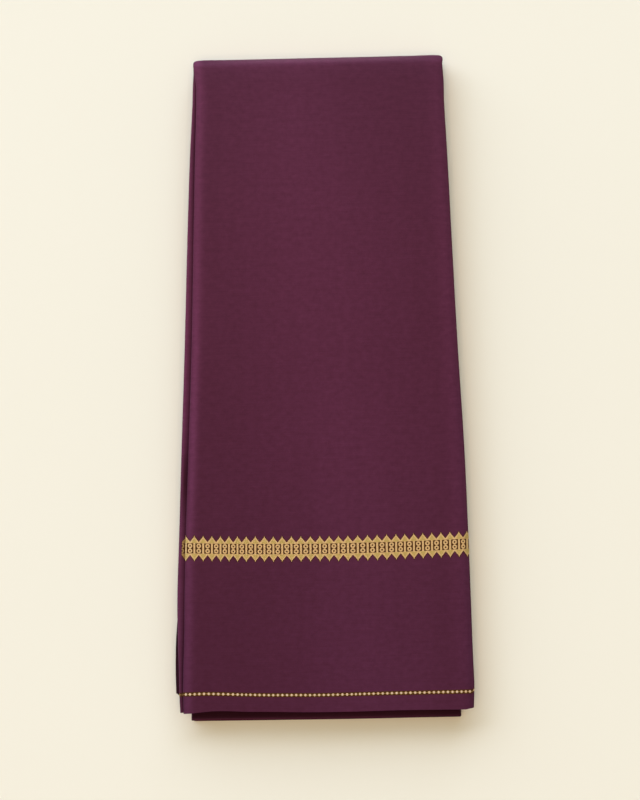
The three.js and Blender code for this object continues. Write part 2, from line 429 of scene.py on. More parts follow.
def weave_bow(above_hem, x):
    """How far a line of the weave across the pack lies above its place at the middle."""
    left, right = row_at(WEAVE_BOW, above_hem)
    return (left if x < BOW_CENTRE_X else right) * ((x - BOW_CENTRE_X) / BOW_SPAN) ** 2


# ---------------------------------------------------------------- sections


class SectionPoint:
    """A point of the cloth's middle line in a section, with the hem lines of the pass that it is on."""

    def __init__(self, x, n, hems, rise=0.0):
        self.x = x
        self.n = n
        self.hems = hems
        self.rise = rise


def hem_pull(station, point):
    """How far a point is drawn along the cloth so that its pass ends on its own hem line."""
    on_front = math.cos(station.angle) > 0
    end = FRONT_END if on_front else BACK_END
    share = min(max((end + HEM_EASE - station.y) / HEM_EASE, 0.0), 1.0)
    if station.angle not in (0.0, math.pi):
        return 0.0
    bowed = (point.x / HALF_WIDTH) ** 2
    if on_front:
        wave = table_at(HEM_WAVE, point.x) * smooth((end + WAVE_EASE - station.y) / WAVE_EASE)
        return share * (point.hems[0] + FRONT_BOW * bowed + point.rise - end) + wave
    if point.x < 0:
        bowed = 0.0
    lean = BACK_LEAN * point.x / HALF_WIDTH if point.hems[1] > LEANING_FROM else 0.0
    return share * (point.hems[1] + BACK_BOW * bowed - lean - end)


def level(edge_level, middle_level, station, x):
    """Height of a pass at x: its edge level near the folds, its middle level between them."""
    from_edge = min(x - station.outer_left, station.outer_right - x)
    return lerp(edge_level, middle_level, smooth((from_edge - LEVEL_EDGE) / LEVEL_BLEND))


def run(station, start_x, end_x, levels, hems, count):
    """A pass laid flat from one x to another, without its two ends."""
    points = []
    for i in range(1, count):
        x = lerp(start_x, end_x, i / count)
        points.append(SectionPoint(x, level(*levels, station, x), hems))
    return points


def fold(tip_x, start_n, end_n, inward, start_hems, end_hems, steps=6, fullness=1.25):
    """The turn from one pass to the next; inward is +1 at a left edge and -1 at a right one."""
    radius = (start_n - end_n) / 2
    depth = abs(radius) * fullness
    centre_x = tip_x + inward * depth
    points = []
    for i in range(steps + 1):
        share = i / steps
        turned = math.pi * share
        hems = [lerp(a, b, share) for a, b in zip(start_hems, end_hems)]
        x = centre_x - inward * depth * math.sin(turned)
        points.append(SectionPoint(x, (start_n + end_n) / 2 + radius * math.cos(turned), hems))
    return points


def pass_levels(number):
    """Edge and middle level of a pass, counted from 1 at the outside."""
    if number <= len(EDGE_LEVELS):
        return EDGE_LEVELS[number - 1], MIDDLE_LEVELS[number - 1]
    share = (number - len(EDGE_LEVELS) - 1) / (PASSES - len(EDGE_LEVELS) - 1)
    return tuple(lerp(first, LAST_LEVEL, share) for first in INNER_LEVELS)


def pass_hems(number):
    """Front and back hem line of a pass."""
    if number <= len(FRONT_HEMS):
        return FRONT_HEMS[number - 1], BACK_HEMS[number - 1]
    uneven = random.Random(number)
    share = (number - len(FRONT_HEMS)) / (PASSES - len(FRONT_HEMS))
    hems = lerp(*INNER_FRONT_HEMS, share), LAST_BACK_HEMS.get(number, INNER_BACK_HEM)
    return tuple(hem + uneven.uniform(-INNER_HEM_PLAY, INNER_HEM_PLAY) for hem in hems)


def fold_reach(number, station):
    """How far out from its usual place the fold after a pass lies, wandering slowly along the pack."""
    uneven = random.Random(WANDER_SEED + number)
    mean = uneven.uniform(-WANDER_MEAN, WANDER_MEAN)
    swing = uneven.uniform(*WANDER_SWING)
    length = uneven.uniform(*WANDER_LENGTH)
    phase = uneven.uniform(0, math.tau)
    return mean + swing * math.sin(station.reach / length * math.tau + phase)


def left_tip(number, station):
    """x of the left fold between a pass and the next."""
    if number == 2:
        return station.second_left
    if number == 4:
        return station.third_left
    return station.second_left + INNER_INSET_LEFT - fold_reach(number, station)


def right_tip(number, station):
    """x of the right fold between a pass and the next."""
    if number == 1:
        return station.outer_right
    return station.outer_right - INNER_INSET_RIGHT + fold_reach(number, station)


# How many steps a pass takes across the pack: the front's field, the leaves', the hidden ones', a return
OUTER_ACROSS = 40
LEAF_ACROSS = 14
INNER_ACROSS = 8
RETURN_ACROSS = 4


def outer_section(station):
    """The outermost pass: an end tucked under at the left, the field, and the fold at the right."""
    left, right = station.outer_left, station.outer_right
    levels, hems = pass_levels(1), pass_hems(1)
    below_levels, below_hems = pass_levels(2), pass_hems(2)
    tuck_hems = tuple(hem + shorter for hem, shorter in zip(hems, TUCK_SHORTER))
    tuck = run(station, right - TUCK_END_INSET, left, TUCK_LEVELS, tuck_hems, LEAF_ACROSS)
    turn_under = fold(left, levels[0], TUCK_LEVELS[0], 1, hems, tuck_hems)[::-1]
    field_end = right - WIDE_TIP_MARGIN
    field = run(station, left + TIP_MARGIN, field_end, levels, hems, OUTER_ACROSS)
    turn_down = fold(right, levels[0], below_levels[0], -1, hems, below_hems, steps=8)
    back_under = run(station, field_end, right - FOLD_RETURN, below_levels, below_hems, RETURN_ACROSS)
    section = tuck + turn_under + field + turn_down + back_under
    for point in section:
        from_edge = (right - point.x) / TURNED_EDGE_WIDTH
        point.rise = TURNED_EDGE_RISE * (1 - smooth(from_edge))
    return section


def fold_under(station, number, left, start_n, margin, fullness=1.25):
    """What follows a pass at its left fold: the fold, the next pass, and the turn into the one after."""
    hems, next_hems, last_hems = (pass_hems(number + i) for i in range(3))
    next_levels, last_levels = pass_levels(number + 1), pass_levels(number + 2)
    tip, end = right_tip(number + 1, station), station.outer_right - FOLD_RETURN
    section = fold(left, start_n, next_levels[0], 1, hems, next_hems, fullness=fullness)
    section += run(station, left + margin, tip - TIP_MARGIN, next_levels, next_hems, LEAF_ACROSS)
    section += fold(tip, next_levels[0], last_levels[0], -1, next_hems, last_hems)
    section += run(station, tip - TIP_MARGIN, end, last_levels, last_hems, RETURN_ACROSS)
    return section


def second_section(station):
    """The pass beneath, whose left fold shows as a rounded strip with a groove beside the outer leaf."""
    left, start = station.second_left, station.outer_right - FOLD_RETURN - RETURN_GAP
    levels, hems = pass_levels(2), pass_hems(2)
    section = run(station, start, left + STRIP_REACH + RETURN_GAP, levels, hems, LEAF_ACROSS)
    section += strip_roll(station, levels, hems)
    section += fold_under(station, 2, left, section[-1].n, WIDE_TIP_MARGIN, fullness=0.9)
    return section


# The strip beside the outer leaf: how far in from its fold's tip it is shaped, how high it rises and how
# deep the groove is. Places across it are shares of the width that shows, from the tip.
STRIP_REACH = 8.2
STRIP_STEPS = 14
STRIP_RISE = 1.05
LEAST_STRIP_WIDTH = 1.0
SWELL_PLACE, SWELL_WIDTH = 1.08, 0.78
TIP_FALL, TIP_WIDTH = 0.35, 0.26
GROOVE_DIP, GROOVE_PLACE, GROOVE_WIDTH = 0.3, 1.08, 0.2

# Share of its rise that the strip has along the pack. Columns: y, share.
STRIP_SHARES = (
    (284, 0.2), (255, 0.75), (190, 1.0), (120, 0.8), (60, 0.85), (-30, 1.1), (-90, 1.2), (-110, 0.9),
    (-150, 0.95), (-180, 0.8), (-215, 1.05), (-262, 0.9), (-286, 0.5),
)


def strip_roll(station, levels, hems):
    """The strip that shows beside the outer leaf: it rises at its fold and falls into the groove."""
    start, end = station.second_left + STRIP_REACH, station.second_left + WIDE_TIP_MARGIN
    width = max(station.outer_left - station.second_left, LEAST_STRIP_WIDTH)
    rise = STRIP_RISE * row_at(STRIP_SHARES, station.y)[0]
    points = []
    for i in range(STRIP_STEPS + 1):
        x = lerp(start, end, i / STRIP_STEPS)
        from_tip = (x - station.second_left) / width
        swell = smooth((SWELL_PLACE - from_tip) / SWELL_WIDTH)
        swell *= 1 - TIP_FALL * smooth((TIP_WIDTH - from_tip) / TIP_WIDTH)
        dip = GROOVE_DIP * math.exp(-((from_tip - GROOVE_PLACE) / GROOVE_WIDTH) ** 2)
        points.append(SectionPoint(x, level(*levels, station, x) + rise * swell - dip, hems))
    return points


def third_section(station):
    """The fold below the second leaf, which shows at the lower left and is cut back at its corner."""
    left, start = station.third_left, station.outer_right - FOLD_RETURN - RETURN_GAP
    levels, hems = pass_levels(4), pass_hems(4)
    section = run(station, start, left + THIRD_TIP_MARGIN, levels, hems, LEAF_ACROSS)
    section += fold_under(station, 4, left, levels[0], THIRD_TIP_MARGIN)
    for point in section:
        point.rise = THIRD_CORNER_RISE * (1 - smooth((point.x - left) / THIRD_CORNER_WIDTH))
    return section


def inner_section(station):
    """All the hidden passes, laid to and fro."""
    first = len(EDGE_LEVELS) + 1
    x = station.outer_right - FOLD_RETURN - RETURN_GAP
    section = []
    for number in range(first, PASSES + 1):
        going_left = number % 2 == 0
        levels, hems = pass_levels(number), pass_hems(number)
        tip = left_tip(number, station) if going_left else right_tip(number, station)
        inward = 1 if going_left else -1
        margin = INNER_TIP_MARGIN * inward
        section += run(station, x, tip + margin, levels, hems, INNER_ACROSS)
        if number < PASSES:
            next_levels, next_hems = pass_levels(number + 1), pass_hems(number + 1)
            section += fold(tip, levels[0], next_levels[0], inward, hems, next_hems, steps=4)
            x = tip + margin
        else:
            section.append(SectionPoint(tip, levels[0], hems))
    return section


# ---------------------------------------------------------------- meshes


def section_normals(section):
    """Unit normals of a section's line, to the left of the way that it runs."""
    normals = []
    for i in range(len(section)):
        before, after = section[max(i - 1, 0)], section[min(i + 1, len(section) - 1)]
        dx, dn = after.x - before.x, after.n - before.n
        length = math.hypot(dx, dn)
        normals.append((-dn / length, dx / length))
    return normals


def section_lengths(section):
    """Distance of each point along the section's line, in millimetres."""
    lengths = [0.0]
    for before, after in zip(section, section[1:]):
        lengths.append(lengths[-1] + math.hypot(after.x - before.x, after.n - before.n))
    return lengths


def cloth_mesh(name, section_at, stations, thickness):
    """A closed thin shell: one section at each station, offset to both faces of the cloth."""
    half = thickness / MM / 2
    vertices, weave, edges = [], [], []
    for station in stations:
        section = section_at(station)
        normals, lengths = section_normals(section), section_lengths(section)
        for side in (half, -half):
            for point, (nx, nn), across in zip(section, normals, lengths):
                pull = hem_pull(station, point)
                vertices.append(place(station, point.x + nx * side, point.n + nn * side, pull))
                weave.append((across * MM, station.reach * MM))
                edges.append(((point.x - station.outer_left) * MM, (station.outer_right - point.x) * MM))
    count = len(section)
    ring = 2 * count
    faces = []
    for row in range(len(stations) - 1):
        here, ahead = row * ring, (row + 1) * ring
        for i in range(count - 1):
            faces.append((here + i, here + i + 1, ahead + i + 1, ahead + i))
            low, low_ahead = here + count, ahead + count
            faces.append((low + i + 1, low + i, low_ahead + i, low_ahead + i + 1))
        faces.append((here + count, here, ahead, ahead + count))
        faces.append((here + count - 1, here + ring - 1, ahead + ring - 1, ahead + count - 1))
    last = (len(stations) - 1) * ring
    for i in range(count - 1):
        faces.append((i + 1, i, count + i, count + i + 1))
        faces.append((last + i, last + i + 1, last + count + i + 1, last + count + i))
    return finished_mesh(name, vertices, faces, {"weave": weave, "edges": edges})


def finished_mesh(name, vertices, faces, maps, crisp_degrees=50):
    """An object with a UV map for each named list of coordinates, one pair for each vertex."""
    mesh = bpy.data.meshes.new(name)
    mesh.from_pydata(vertices, [], faces)
    for map_name, coordinates in maps.items():
        layer = mesh.uv_layers.new(name=map_name)
        for loop in mesh.loops:
            layer.data[loop.index].uv = coordinates[loop.vertex_index]
    mesh.shade_smooth()
    mesh.set_sharp_from_angle(angle=math.radians(crisp_degrees))
    mesh.validate()
    piece = bpy.data.objects.new(name, mesh)
    bpy.context.scene.collection.objects.link(piece)
    return piece


def lay_cloth(name, section_at, thickness, material, node):
    piece = cloth_mesh(name, section_at, path(), thickness)
    piece.data.materials.append(material)
    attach(piece, "root")
    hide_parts(node)
    return piece


# ---------------------------------------------------------------- materials


class Nodes:
    """A short way to write a material's nodes."""

    def __init__(self, name):
        self.material = bpy.data.materials.new(name)
        self.material.use_nodes = True
        self.tree = self.material.node_tree
        self.shader = self.tree.nodes["Principled BSDF"]

    def add(self, kind, **values):
        node = self.tree.nodes.new(kind)
        for key, value in values.items():
            setattr(node, key, value)
        return node

    def link(self, source, target):
        self.tree.links.new(source, target)

    def math(self, operation, first, second=None, clamp=False):
        node = self.add("ShaderNodeMath", operation=operation, use_clamp=clamp)
        for socket, value in zip(node.inputs, (first, second)):
            if value is None:
                continue
            if isinstance(value, (int, float)):
                socket.default_value = value
            else:
                self.link(value, socket)
        return node.outputs[0]

    def mix(self, share, first, second, blend="MIX"):
        node = self.add("ShaderNodeMix", data_type="RGBA", blend_type=blend)
        for socket, value in ((node.inputs[0], share), (node.inputs[6], first), (node.inputs[7], second)):
            if isinstance(value, (int, float)):
                socket.default_value = value
            elif isinstance(value, tuple):
                socket.default_value = (*value, 1)
            else:
                self.link(value, socket)
        return node.outputs[2]

    def parts(self, vector):
        """The x, y and z of a vector."""
        node = self.add("ShaderNodeSeparateXYZ")
        self.link(vector, node.inputs[0])
        return node.outputs[0], node.outputs[1], node.outputs[2]

    def map_at(self, name):
        return self.add("ShaderNodeUVMap", uv_map=name).outputs[0]

    def pack_at(self):
        return self.add("ShaderNodeTexCoord").outputs["Object"]

    def weave(self):
        """The cloth's own coordinates: metres across the pass and along the pack."""
        return self.parts(self.map_at("weave"))[:2]

    def from_edges(self):
        """Metres from the outer leaf's left and right edge."""
        return self.parts(self.map_at("edges"))[:2]

    def place(self):
        """x, y and z of the pack, in metres."""
        return self.parts(self.pack_at())

    def noise(self, scale, detail, stretch=(1, 1, 1), roughness=0.5, uv=False):
        """Noise on the pack, or with uv on the cloth's own coordinates."""
        mapping = self.add("ShaderNodeMapping")
        mapping.inputs["Scale"].default_value = stretch
        self.link(self.map_at("weave") if uv else self.pack_at(), mapping.inputs["Vector"])
        node = self.add("ShaderNodeTexNoise")
        node.inputs["Scale"].default_value = scale
        node.inputs["Detail"].default_value = detail
        node.inputs["Roughness"].default_value = roughness
        self.link(mapping.outputs[0], node.inputs["Vector"])
        return node.outputs["Fac"]

    def hill(self, value, centre, width):
        """1 at the centre, falling smoothly to 0 at about twice the width."""
        away = self.math("DIVIDE", self.math("SUBTRACT", value, centre), width)
        return self.math("EXPONENT", self.math("MULTIPLY", self.math("MULTIPLY", away, away), -1.0))

    def tone(self, share, strength, middle=0.5):
        """A factor near 1 that follows a share."""
        return self.math("ADD", self.math("MULTIPLY", self.math("SUBTRACT", share, middle), strength), 1.0)

    def shaded(self, colour, tones):
        """The colour times each of the tones."""
        product = tones[0]
        for tone in tones[1:]:
            product = self.math("MULTIPLY", product, tone)
        grey = self.add("ShaderNodeCombineColor")
        for socket in grey.inputs:
            self.link(product, socket)
        return self.mix(1.0, colour, grey.outputs[0], blend="MULTIPLY")

    def bump(self, height, distance, strength=1.0, below=None):
        node = self.add("ShaderNodeBump")
        node.inputs["Strength"].default_value = strength
        node.inputs["Distance"].default_value = distance
        self.link(height, node.inputs["Height"])
        if below is not None:
            self.link(below, node.inputs["Normal"])
        return node.outputs[0]

    def threads(self, pitch):
        """Plain weave: waves across and along the cloth, as its threads cross over and under."""
        turn = math.tau / pitch
        across, along = (self.math("SINE", self.math("MULTIPLY", way, turn)) for way in self.weave())
        return self.math("MULTIPLY", across, along)


def shades(colour, darker, lighter):
    """A colour made darker, and made lighter as far as a colour can be."""
    return tuple(part * darker for part in colour), tuple(min(1, part * lighter) for part in colour)


# The field has painted light along a slanting middle, and painted shade in its hem colour away from a height
# along the pack, where its gloss falls off toward the hems; in metres
PAINTED_LIGHT_SLANT = 0.14
PAINTED_LIGHT_X, PAINTED_LIGHT_WIDTH = 0.012, 0.070
HEM_SHADE_Y, HEM_SHADE_WIDTH = 0.17, 0.38

# The cloth's sheen, and how deep its weave and its slubs are
SHEEN, SHEEN_ROUGHNESS, SHEEN_TINT = 0.05, 0.4, (0.90, 0.42, 0.48)
WEAVE_DEPTH, SLUB_DEPTH = 0.03 * MM, 0.12 * MM


def plum_cloth(name, colour, hem_shade_colour, settings, gloss, border=None):
    """Plum silk-cotton in plain weave: slubs across the pack, streaks along it, uneven dye, tinted gloss,
    and painted light and shade.
    """
    nodes = Nodes(name)
    shader = nodes.shader
    shader.inputs["Roughness"].default_value = settings.roughness
    broad = nodes.noise(8, 3)
    streaks = nodes.noise(1, 2, stretch=(75, 3, 1))
    slubs = nodes.noise(1, 4, stretch=(34, 900, 1), uv=True)
    flecks = nodes.noise(1, 3, stretch=(170, 220, 1), roughness=0.6, uv=True)
    x, y, _ = nodes.place()
    slanted_x = nodes.math("ADD", x, nodes.math("MULTIPLY", y, PAINTED_LIGHT_SLANT))
    # Painted light: the field is made lighter along a slanting middle
    middle = nodes.hill(slanted_x, PAINTED_LIGHT_X, PAINTED_LIGHT_WIDTH)
    tones = [
        nodes.tone(broad, 0.20), nodes.tone(streaks, 0.16), nodes.tone(slubs, 0.34),
        nodes.tone(flecks, 0.68), nodes.tone(middle, 0.28, middle=0.4),
    ]
    tones += painted_fold_light_and_shade(nodes, x, y) if border is None else painted_hem_light(nodes, x, y)
    # Painted shade: the field darkens toward its hems, where its gloss falls off
    hem_shaded = nodes.mix(nodes.hill(y, HEM_SHADE_Y, HEM_SHADE_WIDTH), hem_shade_colour, colour)
    base = nodes.shaded(hem_shaded, tones)
    if border is not None:
        base = border_edges(nodes, base, border)
    nodes.link(base, shader.inputs["Base Color"])
    shader.inputs["Specular IOR Level"].default_value = gloss
    shader.inputs["Specular Tint"].default_value = (*settings.gloss_tint, 1)
    shader.inputs["Sheen Weight"].default_value = SHEEN
    shader.inputs["Sheen Roughness"].default_value = SHEEN_ROUGHNESS
    shader.inputs["Sheen Tint"].default_value = (*SHEEN_TINT, 1)
    weave = nodes.bump(nodes.threads(settings.thread_pitch), WEAVE_DEPTH, strength=0.35)
    slubbed = nodes.bump(slubs, SLUB_DEPTH, strength=0.5, below=weave)
    nodes.link(slubbed, shader.inputs["Normal"])
    return nodes.material


def painted_fold_light_and_shade(nodes, x, y):
    """Painted highlights on the left fold's ridge, the strip beside it, the right roll and the doubled end's
    shoulder; painted shade in the groove, a dent beside it and the front hem's right corner; and matt at the
    doubled end's corners.
    """
    from_left, from_right = nodes.from_edges()
    # Painted highlight along the outer leaf's left fold
    ridge_highlight = nodes.hill(from_left, 0.0034, 0.0042)
    upper_ridge_highlight = nodes.math("MULTIPLY", ridge_highlight, nodes.hill(y, -0.05, 0.10))
    # Painted highlight on the strip beside the outer leaf
    strip = nodes.hill(from_left, -0.0054, 0.0026)
    # Painted shade in the groove between the strip and the outer leaf
    groove = nodes.hill(from_left, -0.0008, 0.0009)
    # Painted shade in a dent of the strip
    dent_shade = nodes.math("MULTIPLY", nodes.hill(from_left, -0.0022, 0.0025), nodes.hill(y, -0.086, 0.028))
    # Painted highlight along the right roll
    right_roll_highlight = nodes.hill(from_right, 0.006, 0.008)
    # Painted shade at the right corner of the front hem
    corner = nodes.math("MULTIPLY", nodes.hill(from_right, 0.0, 0.018), nodes.hill(y, -0.286, 0.026))
    from_middle = nodes.math("ABSOLUTE", nodes.math("DIVIDE", nodes.math("SUBTRACT", x, 0.006), 0.103))
    to_sides = nodes.math("POWER", from_middle, 4.0, clamp=True)
    up = nodes.math("SUBTRACT", y, nodes.math("MULTIPLY", x, FOLD_SKEW))
    # Painted highlight on the doubled end's shoulder
    shoulder_highlight = nodes.hill(up, 0.2860, 0.0040)
    strengths = (
        (ridge_highlight, 0.75), (upper_ridge_highlight, 0.25), (strip, 1.0), (groove, -0.3),
        (dent_shade, -0.75), (right_roll_highlight, 0.30), (corner, -0.2), (shoulder_highlight, 0.16),
    )
    matt = nodes.math("MULTIPLY", nodes.hill(up, 0.2920, 0.0044), to_sides)
    roughness = nodes.shader.inputs["Roughness"]
    nodes.link(nodes.math("ADD", nodes.math("MULTIPLY", matt, 0.36), roughness.default_value), roughness)
    return [nodes.tone(share, strength, middle=0.0) for share, strength in strengths]


def painted_hem_light(nodes, x, y):
    """Painted light where the hidden passes end at the lower half's hem, most of all toward the left, where
    their edges catch the light.
    """
    hem = nodes.hill(y, -0.2940, 0.0026)
    left = nodes.math("MULTIPLY", hem, nodes.hill(x, -0.08, 0.06))
    return [nodes.tone(hem, 3.4, middle=0.0), nodes.tone(left, 1.4, middle=0.0)]


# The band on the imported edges: half its height in millimetres, how ragged it is and how much is gold
EDGE_BAND_HALF = 8.2
EDGE_BAND_RAGGED = 0.5
EDGE_BAND_REACH = 1.2
EDGE_GOLD_FROM = 0.46


def border_edges(nodes, base, border):
    """The gold band as it shows, broken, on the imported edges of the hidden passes."""
    along = nodes.weave()[1]
    from_back = nodes.math("SUBTRACT", PATH_LENGTH * MM, along)
    above_hem = nodes.math("MINIMUM", along, from_back)
    speckle = nodes.noise(1, 2, stretch=(500, 700, 1), uv=True)
    half = EDGE_BAND_HALF * MM
    away = nodes.math("ABSOLUTE", nodes.math("SUBTRACT", above_hem, BAND_ABOVE_HEM * MM))
    ragged = nodes.math("ADD", away, nodes.math("MULTIPLY", speckle, half * EDGE_BAND_RAGGED))
    inside = nodes.math("LESS_THAN", ragged, half * EDGE_BAND_REACH)
    broken = nodes.math("GREATER_THAN", speckle, EDGE_GOLD_FROM)
    gold = nodes.mix(broken, tuple(border.ground), tuple(border.old_gold))
    return nodes.mix(inside, base, gold)


GOLD_THREAD_PITCH, GOLD_THREAD_DEPTH = 0.32 * MM, 0.04 * MM


def metal_thread(name, colour, metallic=0.45, roughness=0.42):
    """Gold thread laid along the border, uneven in colour as it catches the light."""
    nodes = Nodes(name)
    shader = nodes.shader
    patchy = nodes.noise(1, 3, stretch=(650, 1500, 1), uv=True)
    base = nodes.mix(patchy, *shades(colour, 0.74, 1.22))
    nodes.link(base, shader.inputs["Base Color"])
    shader.inputs["Metallic"].default_value = metallic
    shader.inputs["Roughness"].default_value = roughness
    along = nodes.weave()[1]
    thread_lines = nodes.math("SINE", nodes.math("MULTIPLY", along, math.tau / GOLD_THREAD_PITCH))
    nodes.link(nodes.bump(thread_lines, GOLD_THREAD_DEPTH, strength=0.5), shader.inputs["Normal"])
    return nodes.material


def ground_weave(name, colour):
    """The brown ground between the gold figures."""
    nodes = Nodes(name)
    patchy = nodes.noise(1, 3, stretch=(900, 1300, 1), uv=True)
    base = nodes.mix(patchy, *shades(colour, 0.6, 1.5))
    nodes.link(base, nodes.shader.inputs["Base Color"])
    nodes.shader.inputs["Roughness"].default_value = 0.75
    nodes.shader.inputs["Specular IOR Level"].default_value = 0.12
    return nodes.material


def floor_material(colour):
    """A smooth pale card with the faintest unevenness."""
    nodes = Nodes("pale_floor")
    broad = nodes.noise(1.6, 2)
    base = nodes.mix(broad, *shades(colour, 0.99, 1.01))
    nodes.link(base, nodes.shader.inputs["Base Color"])
    nodes.shader.inputs["Roughness"].default_value = 0.9
    nodes.shader.inputs["Specular IOR Level"].default_value = 0.1
    return nodes.material


# ---------------------------------------------------------------- the woven border


# One repeat of the band and one dot, in millimetres from their middles: the band's is in an upright bar
TIP = 11.15
SPIKE_FOOT = 9.75
SPIKE_HALF_WIDTH = 0.42
VALLEY = 5.6
BAR_INNER = 4.4
UPRIGHT_HALF_WIDTH = 0.85
RING_CENTRE = 2.12
RING_OUTER = 2.05
RING_INNER = 0.78
RING_STEPS = 14
OUTLINE = 0.5
# The darker gold triangle inside each point is painted shade: its foot, tip and half width
SHADE_FOOT = 4.7
SHADE_TIP = 9.2
SHADE_HALF_WIDTH = 2.7
DOT_RADIUS = 1.12
DOT_CROWN = 0.7
DOT_STEPS = 12
DOT_GROUND = 1.7
DOT_LINK = 0.13
GOLD, OLD_GOLD, GROUND, PAINTED_HIGHLIGHT, SHADED_GOLD = range(5)
SHARE_OF_RELIEF = {GROUND: 0.35, GOLD: 1.0, OLD_GOLD: 1.25, PAINTED_HIGHLIGHT: 1.6, SHADED_GOLD: 1.0}


def rectangle(half_width, half_height):
    low = [(-half_width, -half_height), (half_width, -half_height)]
    return low + [(half_width, half_height), (-half_width, half_height)]


def band_repeat(pitch):
    """Figures of one repeat: (kind, corners), each one convex."""
    half = pitch / 2
    figures = []
    for side in (-1, 1):
        edge = side * half
        valley, tip = VALLEY + OUTLINE, TIP + OUTLINE
        figures.append((GROUND, [(edge, -valley), (0, -tip), (0, tip), (edge, valley)]))
        for way in (-1, 1):
            foot = (side * SPIKE_HALF_WIDTH, SPIKE_FOOT)
            body = [(edge, BAR_INNER), (0, BAR_INNER), (0, SPIKE_FOOT), foot, (edge, VALLEY)]
            figures.append((GOLD, [(u, v * way) for u, v in body]))
    for way in (-1, 1):
        spike = [(-SPIKE_HALF_WIDTH, SPIKE_FOOT), (SPIKE_HALF_WIDTH, SPIKE_FOOT), (0, TIP)]
        # The darker gold in the middle of each point is painted shade
        shade = [(-SHADE_HALF_WIDTH, SHADE_FOOT), (SHADE_HALF_WIDTH, SHADE_FOOT), (0, SHADE_TIP)]
        figures.append((GOLD, [(u, v * way) for u, v in spike]))
        figures.append((OLD_GOLD, [(u, v * way) for u, v in shade]))
        figures += ring(half, RING_CENTRE * way)
    figures.append((GOLD, rectangle(UPRIGHT_HALF_WIDTH, BAR_INNER)))
    return figures


def ring(centre_u, centre_v):
    """A round gold ring as a run of four-cornered pieces."""
    def rim(radius, step):
        angle = math.tau * step / RING_STEPS
        return centre_u + radius * math.cos(angle), centre_v + radius * math.sin(angle)
    return [(GOLD, [rim(RING_OUTER, i), rim(RING_OUTER, i + 1), rim(RING_INNER, i + 1), rim(RING_INNER, i)])
            for i in range(RING_STEPS)]


def dot_repeat(pitch):
    """One dot with its stretch of brown ground and the thread that links it to the next."""
    half = pitch / 2
    strip, link = rectangle(half, DOT_GROUND), rectangle(half, DOT_LINK)
    angles = [math.tau * i / DOT_STEPS for i in range(DOT_STEPS)]
    dot, crown = ([(radius * math.cos(angle), radius * math.sin(angle)) for angle in angles]
                  for radius in (DOT_RADIUS, DOT_CROWN))
    # Each dot's crown is a painted highlight in lighter gold
    return [(GROUND, strip), (OLD_GOLD, link), (GOLD, dot), (PAINTED_HIGHLIGHT, crown)]


def clip(corners, line, keep_above):
    """The part of a convex outline on one side of the line u = line."""
    kept = []
    sign = 1 if keep_above else -1
    for (u0, v0), (u1, v1) in zip(corners, corners[1:] + corners[:1]):
        inside, next_inside = sign * (u0 - line) >= 0, sign * (u1 - line) >= 0
        if inside:
            kept.append((u0, v0))
        if inside != next_inside:
            share = (line - u0) / (u1 - u0)
            kept.append((line, lerp(v0, v1, share)))
    return kept


def area(corners):
    return sum(u0 * v1 - u1 * v0 for (u0, v0), (u1, v1) in zip(corners, corners[1:] + corners[:1])) / 2


def length_at_middle(section, lengths):
    """The length along the outer leaf at which its face crosses x = 0."""
    for i in range(len(section) - 1):
        here, ahead = section[i].x, section[i + 1].x
        if here <= 0 < ahead:
            return lerp(lengths[i], lengths[i + 1], -here / (ahead - here))
    raise RuntimeError("the outer leaf does not cross the middle of the pack")


def length_at_tip(section, lengths):
    """The length along a leaf at the tip of its left fold."""
    tips = [point.x for point in section]
    return lengths[tips.index(min(tips))]


class BorderLine:
    """Where a row of figures lies on a leaf: its face, its height above the hem, and where u is zero."""

    def __init__(self, section_at, side, on_front, above_hem, thickness, zero_length, rise):
        self.section_at = section_at
        self.side = side
        self.on_front = on_front
        self.above_hem = above_hem
        self.half = thickness / MM / 2
        self.zero_length = zero_length
        self.rise = rise
        self.cache = {}
        self.joints = self.section(0.0)[1]

    def section(self, v):
        """The leaf's line at a height in the row, its points' u, its normals and its station."""
        key = round(v, 2)
        if key not in self.cache:
            height = self.above_hem + v
            if self.on_front:
                station = front_station(FRONT_END + height)
            else:
                station = back_station(BACK_END + height)
            section = self.section_at(station)
            lengths = section_lengths(section)
            zero = self.zero_length(section, lengths)
            lengths = [length - zero for length in lengths]
            self.cache[key] = (section, lengths, section_normals(section), station)
        return self.cache[key]

    def point(self, u, v, lift):
        section, lengths, normals, station = self.section(v)
        index = next((i for i in range(len(lengths) - 1) if u <= lengths[i + 1]), len(lengths) - 2)
        share = (u - lengths[index]) / max(lengths[index + 1] - lengths[index], 1e-6)
        share = min(max(share, 0.0), 1.0)
        here, ahead = section[index], section[index + 1]
        x, n = lerp(here.x, ahead.x, share), lerp(here.n, ahead.n, share)
        nx = lerp(normals[index][0], normals[index + 1][0], share)
        nn = lerp(normals[index][1], normals[index + 1][1], share)
        raised = self.side * (self.half + lift)
        pull = weave_bow(self.above_hem + v, x) + table_at(self.rise, x) + hem_pull(station, here)
        return place(station, x + nx * raised, n + nn * raised, pull)


# A cut figure below this area, in square millimetres, is left out
SMALLEST_AREA = 1e-4


